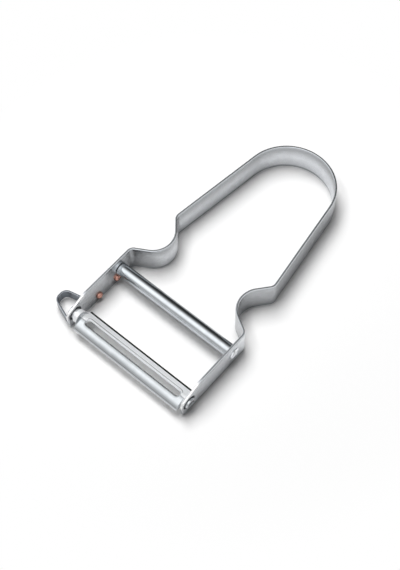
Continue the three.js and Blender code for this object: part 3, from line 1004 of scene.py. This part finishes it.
def metal(name, tint, roughness, lines, haze, lines_part, haze_part, bump, layers):
    """A metal whose colour and roughness vary with drawn lines, by their two scales, and with handling haze, by
    its scale. The parts say how much of each is in the roughness, and bump how much relief the lines have. Each
    layer is a mask with the colour, roughness and share of mirror-like metal that the surface takes there."""
    material = bpy.data.materials.new(name)
    tree = blank(material)
    flat = node(tree, "ShaderNodeUVMap", uv_map="flat")
    grain = node(tree, "ShaderNodeGroup", {
        "Place": flat.outputs[0], "Along": lines[0], "Across": lines[1],
    }, node_tree=effect("drawn lines", ("Along", "Across"), "Lines", drawn_lines)).outputs[0]
    cloud = node(tree, "ShaderNodeGroup", {
        "Place": object_place(tree), "Scale": haze,
    }, node_tree=effect("handling haze", ("Scale",), "Haze", handling_haze)).outputs[0]
    base = blend(tree, "RGBA", cloud, (*tint, 1), (*(HAZE_TINT * part for part in tint), 1))
    lined = spread(tree, grain, *LINES_SPAN, roughness - lines_part, roughness + lines_part)
    rough, metallic = maths(tree, "MULTIPLY_ADD", cloud, haze_part, lined), 1.0
    for mask, layer_tint, layer_rough, layer_metal in layers:
        shown = mask(tree)
        base = blend(tree, "RGBA", shown, base, (*layer_tint, 1))
        rough = blend(tree, "FLOAT", shown, rough, layer_rough)
        metallic = blend(tree, "FLOAT", shown, metallic, layer_metal)
    relief = node(tree, "ShaderNodeBump", {"Height": grain, "Strength": bump, "Distance": LINES_DEPTH})
    surface = node(tree, "ShaderNodeBsdfPrincipled", {
        "Base Color": base, "Roughness": rough, "Metallic": metallic, "Normal": relief.outputs[0],
    })
    node(tree, "ShaderNodeOutputMaterial", {"Surface": surface.outputs[0]})
    return material


def white_light(tree, kind, strength):
    """The shader of an even white glow or background."""
    return node(tree, kind, {"Color": (1, 1, 1, 1), "Strength": strength}).outputs[0]


def where_looked_at(tree, lit, shown):
    """One shader where a camera, glossy or transmission ray looks, another for the rays that bring light."""
    light = node(tree, "ShaderNodeLightPath").outputs
    direct = maths(tree, "MAXIMUM", light["Is Camera Ray"], light["Is Glossy Ray"])
    direct = maths(tree, "MAXIMUM", direct, light["Is Transmission Ray"])
    return node(tree, "ShaderNodeMixShader", {0: direct, 1: lit, 2: shown}).outputs[0]


def floor_finish(tint):
    """Matt white floor. Where it is looked at, a little glow brings the lit floor to white and leaves the
    shadow, and far from the object the floor goes over to the white background."""
    material = bpy.data.materials.new("floor")
    tree = blank(material)
    matt = node(tree, "ShaderNodeBsdfDiffuse", {"Color": (*tint, 1)}).outputs[0]
    lifted = node(tree, "ShaderNodeAddShader", {0: matt, 1: white_light(tree, "ShaderNodeEmission", FLOOR_GLOW)})
    away = node(tree, "ShaderNodeVectorMath", {0: object_place(tree)}, operation="LENGTH").outputs["Value"]
    faded = node(tree, "ShaderNodeMixShader", {
        0: spread(tree, away, *FLOOR_FADE), 1: lifted.outputs[0], 2: white_light(tree, "ShaderNodeEmission", 1.0),
    })
    node(tree, "ShaderNodeOutputMaterial", {"Surface": where_looked_at(tree, matt, faded.outputs[0])})
    return material


def tent_finish():
    """Inside of the light tent: bright overhead and a little to the front, grey low in front, dark behind. The
    level follows the angle from straight up towards the back, the arctangent of y over z, and goes over to one
    even level towards the sides. The tent shows in the metal and doesn't light the floor through it."""
    material = bpy.data.materials.new("light tent")
    tree = blank(material)
    x, y, z = node(tree, "ShaderNodeSeparateXYZ", {0: object_place(tree)}).outputs
    share_of_half = spread(tree, maths(tree, "ARCTAN2", y, z), -math.pi / 2, math.pi / 2)
    ramp = node(tree, "ShaderNodeValToRGB", {0: share_of_half})
    stops = ramp.color_ramp.elements
    while len(stops) < len(TENT_LEVELS):
        stops.new(0.5)
    for stop, (degrees, level) in zip(stops, TENT_LEVELS):
        stop.position = (degrees + 90) / 180
        stop.color = (*[level / TENT_TOP] * 3, 1)
    far = maths(tree, "ABSOLUTE", maths(tree, "SUBTRACT", x, TENT_PANEL_MIDDLE))
    beyond = spread(tree, far, *TENT_PANEL_HALF)
    level = blend(tree, "RGBA", beyond, ramp.outputs[0], (*[TENT_SIDE_LEVEL / TENT_TOP] * 3, 1))
    bounced = node(tree, "ShaderNodeLightPath").outputs["Diffuse Depth"]
    strength = spread(tree, bounced, 0.0, 1.0, TENT_TOP, 0.0)
    shine = node(tree, "ShaderNodeEmission", {"Color": level, "Strength": strength})
    node(tree, "ShaderNodeOutputMaterial", {"Surface": shine.outputs[0]})
    return material


# Operators


class PEELER_OT_handle(bpy.types.Operator):
    """Builds the bent band with its bearing holes, rod slots and rivet holes"""

    bl_idname = "peeler.handle"
    bl_label = "Handle"

    def execute(self, context):
        sizes = context.scene.peeler.handle
        path = handle_path(sizes)
        top = sizes.height
        nose = tip_curves([
            (SLOPE_LENGTH, top), (0, top - SLOPE_DROP, NOSE_RADIUS), (NOSE_LEAN, 0, HEEL_RADIUS), (SLOPE_LENGTH, 0),
        ], NOSE_SPLIT * top)
        points, flat, marks = bent_strip(path, strip_edges(path, nose, nose), sizes.thickness, sizes.edge)
        marks.update(band_tones(flat, path[-1, 0], top, marks["rim"]))
        mesh = make_mesh("band_handle", points, flat, marks)
        finish = metal(
            "satin band", sizes.tint, sizes.roughness,
            lines=(60.0, 7000.0), haze=70.0, lines_part=0.05, haze_part=0.05, bump=0.12, layers=[
                # Painted shade on the faces
                (marked("dull"), [PAINTED_SHADE_TINT * part for part in sizes.tint], sizes.roughness, 1.0),
                (marked("polish"), (0.80, 0.82, 0.85), 0.1, 1.0),
                # Painted shade on the rounded rims, and a painted highlight at the middle of each rounding
                (marked("rim"), (0.40, 0.42, 0.44), 0.18, 1.0),
                (marked("corner"), (0.62, 0.64, 0.665), 0.22, 1.0),
                (marked("cut"), (0.88, 0.885, 0.89), 0.25, 0.5),
                # Painted shade on the walls of the bearing holes and round them
                (near_swivel, (0.05, 0.055, 0.06), 0.5, 1.0),
            ],
        )
        band = add_piece("band_handle", mesh, finish)
        past = 2 * sizes.thickness
        left, right = FRAME_LOW[0] - past, FRAME_HIGH[0] + past
        rod = (ROD_LOW[1:] + ROD_HIGH[1:]) / 2
        cut_through(band, [
            (bearing_outline(), left, right),
            (slot_outline(TENON_LENGTH + 2 * FIT_GAP, TENON_THICKNESS + 2 * FIT_GAP, rod), left, right),
            *rivet_holes(left, left + 2 * past),
        ])
        soften_rims(band)
        keep_flats_flat(band)
        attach(band, "handle")
        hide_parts("handle_frame")
        return {"FINISHED"}


class PEELER_OT_rod(bpy.types.Operator):
    """Builds the polished cross rod with its peened ends"""

    bl_idname = "peeler.rod"
    bl_label = "Cross rod"

    def execute(self, context):
        sizes = context.scene.peeler.rod
        points, flat, marks = rod_surface(sizes)
        mesh = make_mesh("polished_rod", points, flat, marks)
        finish = metal(
            "polished rod", sizes.tint, roughness=0.10,
            lines=(50.0, 5000.0), haze=60.0, lines_part=0.02, haze_part=0.04, bump=0.04, layers=[
                (marked("shade"), [ROD_SHADE_TINT * part for part in sizes.tint], 0.16, 1.0),
                (marked("peened"), (0.80, 0.82, 0.85), 0.14, 1.0),
                # Painted shade at the seam by the cheek and in the groove
                (marked("seam"), (0.09, 0.095, 0.10), 0.35, 1.0),
            ],
        )
        rod = add_piece("polished_rod", mesh, finish)
        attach(rod, "handle")
        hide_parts("cross_rod")
        return {"FINISHED"}


class PEELER_OT_blade(bpy.types.Operator):
    """Builds the slotted swivel blade with its collars and journals"""

    bl_idname = "peeler.blade"
    bl_label = "Blade"

    def execute(self, context):
        sizes = context.scene.peeler.blade
        points, faces, flat, marks = blade_surface(sizes)
        mesh = make_mesh("swivel_blade_sheet", points, flat, marks, faces, BLADE_SHARP_TURN)
        finish = metal(
            "polished blade", sizes.tint, roughness=0.06,
            lines=(50.0, 5000.0), haze=60.0, lines_part=0.02, haze_part=0.03, bump=0.03, layers=[
                (marked("under"), (0.90, 0.91, 0.92), 0.35, 1.0),
                # The ground bevels, and a painted highlight line along the front edge
                (marked("ground"), (0.66, 0.68, 0.70), 0.18, 1.0),
                (marked("matt"), (0.88, 0.895, 0.91), 0.3, 0.35),
                # Painted shade in the bores, and painted dark lines and shade on the rails and necks
                (marked("bore"), (0.05, 0.055, 0.06), 0.5, 1.0),
                (marked("dark"), (0.06, 0.065, 0.07), 0.25, 1.0),
            ],
        )
        blade = add_piece("swivel_blade_sheet", mesh, finish)
        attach(blade, "swivel_blade")
        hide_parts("blade")
        return {"FINISHED"}


class PEELER_OT_eye_remover(bpy.types.Operator):
    """Builds the loop that takes out the eyes of a potato"""

    bl_idname = "peeler.eye_remover"
    bl_label = "Eye remover"

    def execute(self, context):
        sizes = context.scene.peeler.loop
        path = loop_path(sizes)
        low, high = STRIP_LOW[2], STRIP_HIGH[2]
        reach = 2 * PLATE_CORNER
        end = tip_curves([
            (reach, high), (0, high, PLATE_CORNER), (0, low, PLATE_CORNER), (reach, low),
        ], (low + high) / 2, count=24)
        points, flat, marks = bent_strip(path, strip_edges(path, end, end), sizes.thickness, sizes.edge)
        mesh = make_mesh("eye_loop", points, flat, marks)
        finish = metal(
            "rolled strip", sizes.tint, roughness=0.26,
            lines=(120.0, 6000.0), haze=120.0, lines_part=0.05, haze_part=0.10, bump=0.10, layers=[
                # Lighter rims, and a painted highlight at the middle of each rounding of the strip's edges
                (marked("rim"), (0.24, 0.26, 0.29), 0.2, 1.0),
                (marked("corner"), (0.62, 0.65, 0.68), 0.2, 1.0),
            ],
        )
        loop = add_piece("eye_loop", mesh, finish)
        cut_through(loop, rivet_holes(FRAME_LOW[0] - 4 * sizes.thickness, FRAME_LOW[0] + sizes.thickness))
        keep_flats_flat(loop)
        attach(loop, "handle")
        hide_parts("eye_remover")
        return {"FINISHED"}


class PEELER_OT_rivets(bpy.types.Operator):
    """Builds the two copper rivets of the eye remover"""

    bl_idname = "peeler.rivets"
    bl_label = "Rivets"

    def execute(self, context):
        sizes = context.scene.peeler.rivets
        finish = metal(
            "rivet copper", sizes.tint, roughness=0.17,
            lines=(900.0, 900.0), haze=300.0, lines_part=0.04, haze_part=0.08, bump=0.05, layers=[
                (marked("rim"), (0.34, 0.17, 0.13), 0.3, 1.0),
            ],
        )
        for name in RIVET_NODES:
            points, flat, rim = rivet_surface(sizes, name)
            mesh = make_mesh("copper_" + name, points, flat, {"rim": rim})
            rivet = add_piece("copper_" + name, mesh, finish)
            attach(rivet, "handle")
            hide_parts(name)
        return {"FINISHED"}


def add_tent():
    """Half a cylinder about the x direction over the whole object, seen only in reflections: y and z are the
    sine and cosine of the angle from straight up, times the radius."""
    angle = np.linspace(-math.pi / 2, math.pi / 2, TENT_STEPS)
    ends = np.array([-TENT_HALF_LENGTH, TENT_HALF_LENGTH])
    points = np.stack(np.broadcast_arrays(
        ends[None, :], TENT_RADIUS * np.sin(angle)[:, None], TENT_RADIUS * np.cos(angle)[:, None],
    ), axis=-1)
    first = 2 * np.arange(len(angle) - 1)[:, None]
    mesh = bpy.data.meshes.new("light_tent")
    mesh.from_pydata(points.reshape(-1, 3), [], (first + np.array([0, 1, 3, 2])).tolist())
    tent = add_piece("light_tent", mesh, tent_finish())
    tent.visible_camera = False
    tent.visible_diffuse = False
    tent.visible_shadow = False
    return tent


class PEELER_OT_stage(bpy.types.Operator):
    """Sets up the floor, the light and the camera"""

    bl_idname = "peeler.stage"
    bl_label = "Stage"

    def execute(self, context):
        scene = context.scene
        settings = scene.peeler.stage
        scene.view_settings.view_transform = "Standard"
        self.place_camera(scene)
        self.place_lights(scene, settings)
        mesh = bpy.data.meshes.new("floor")
        corners = FLOOR_HALF * np.array([(-1, -1, 0), (1, -1, 0), (1, 1, 0), (-1, 1, 0)])
        mesh.from_pydata(corners, [], [(0, 1, 2, 3)])
        floor = add_piece("floor", mesh, floor_finish(settings.floor))
        floor.location.z = -FLOOR_DROP
        add_tent()
        return {"FINISHED"}

    def place_camera(self, scene):
        """Looks at the aim point from the photograph's angle. The lens follows from the focal length in pixels."""
        data = bpy.data.cameras.new("camera")
        data.sensor_width = SENSOR
        data.lens = FOCAL_PIXELS * SENSOR / IMAGE_HEIGHT
        data.clip_start = NEAR_CLIP
        camera = bpy.data.objects.new("camera", data)
        view = Matrix.Translation(VIEW_AIM)
        for angle, axis in ((-VIEW_TURN, "Z"), (math.pi / 2 - VIEW_DOWN, "X"), (-VIEW_ROLL, "Z")):
            view = view @ Matrix.Rotation(angle, 4, axis)
        camera.matrix_world = view @ Matrix.Translation((0, 0, VIEW_DISTANCE))
        scene.collection.objects.link(camera)
        scene.camera = camera

    def place_lights(self, scene, settings):
        """A soft lamp overhead, a little to the side of the eye remover, a weak strip lamp in front, and even
        light from all around. The lamps don't show in the metal, which reflects the tent instead."""
        for name, place, extent, watts in (
            ("overhead", LAMP_PLACE, LAMP_SIZE, settings.lamp),
            ("front strip", STRIP_PLACE, STRIP_SIZE, settings.strip),
        ):
            lamp = bpy.data.lights.new(name, "AREA")
            lamp.shape = "RECTANGLE"
            lamp.size, lamp.size_y = extent
            lamp.energy = watts
            hung = bpy.data.objects.new(name, lamp)
            turn = Vector(place).to_track_quat("Z", "Y").to_matrix().to_4x4()
            hung.matrix_world = Matrix.Translation(place) @ turn
            hung.visible_camera = False
            hung.visible_glossy = False
            scene.collection.objects.link(hung)
        world = bpy.data.worlds.new("studio")
        scene.world = world
        tree = blank(world)
        around, white = (white_light(tree, "ShaderNodeBackground", level) for level in (settings.ambient, 1.0))
        node(tree, "ShaderNodeOutputWorld", {"Surface": where_looked_at(tree, around, white)})


OPERATORS = (
    PEELER_OT_stage, PEELER_OT_handle, PEELER_OT_rod, PEELER_OT_blade, PEELER_OT_eye_remover, PEELER_OT_rivets,
)


class PEELER_PT_build(bpy.types.Panel):
    """Lists the steps of the build and the settings of each piece"""

    bl_idname = "PEELER_PT_build"
    bl_label = "Vegetable peeler"
    bl_space_type = "VIEW_3D"
    bl_region_type = "UI"
    bl_category = "Peeler"

    def draw(self, context):
        settings = context.scene.peeler
        groups = (settings.stage, settings.handle, settings.rod, settings.blade, settings.loop, settings.rivets)
        for operator, group in zip(OPERATORS, groups):
            box = self.layout.box()
            box.operator(operator.bl_idname)
            for name in group.__annotations__:
                box.prop(group, name)


GROUPS = (HandleSettings, RodSettings, BladeSettings, LoopSettings, RivetSettings, StageSettings, PeelerSettings)


def register():
    for kind in (*GROUPS, *OPERATORS, PEELER_PT_build):
        bpy.utils.register_class(kind)
    bpy.types.Scene.peeler = PointerProperty(type=PeelerSettings, name="Peeler", description="Settings of the peeler")


def unregister():
    del bpy.types.Scene.peeler
    for kind in reversed((*GROUPS, *OPERATORS, PEELER_PT_build)):
        bpy.utils.unregister_class(kind)


def main():
    register()
    bpy.ops.peeler.stage()
    bpy.ops.peeler.handle()
    bpy.ops.peeler.rod()
    bpy.ops.peeler.blade()
    bpy.ops.peeler.eye_remover()
    bpy.ops.peeler.rivets()


if __name__ == "__main__":
    main()
